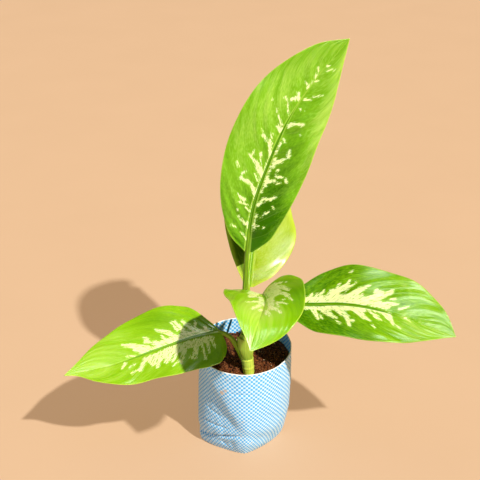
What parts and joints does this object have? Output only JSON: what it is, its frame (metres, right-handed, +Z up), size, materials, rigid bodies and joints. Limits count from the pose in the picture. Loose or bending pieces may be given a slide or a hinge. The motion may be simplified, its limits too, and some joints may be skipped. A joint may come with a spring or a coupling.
{
  "type": "potted dieffenbachia",
  "caption": "Young foliage plant with broad pointed variegated leaves on a short green stem, rooted in growing mix in a soft woven bag that stands on its own flat base.",
  "frame": {"origin": "on the surface that the bag stands on, under the middle of its mouth from side to side, inside its flat base", "axes": "+Z up; -Y towards the front, where one leaf folds forward over the stem; +X to the right seen from the front"},
  "size_m": [0.4055, 0.2927, 0.4622],
  "materials": {
    "woven_bag": "fine pale blue and white check of woven polypropylene tapes, slightly glossy",
    "growing_mix": "damp dark brown coco peat with reddish fibres and a few pale grains",
    "stem": "smooth pale yellow-green skin",
    "leaf": "glossy green with cream splashes along the midrib",
    "pale_leaf": "glossy pale yellow-green"
  },
  "bodies": {
    "root": {"grow_bag": "woven_bag", "soil": "growing_mix", "stem": "stem", "leaf_left": "leaf", "leaf_right": "leaf", "leaf_tall": "leaf", "leaf_front": "leaf", "leaf_back": "pale_leaf"}
  },
  "joints": []
}
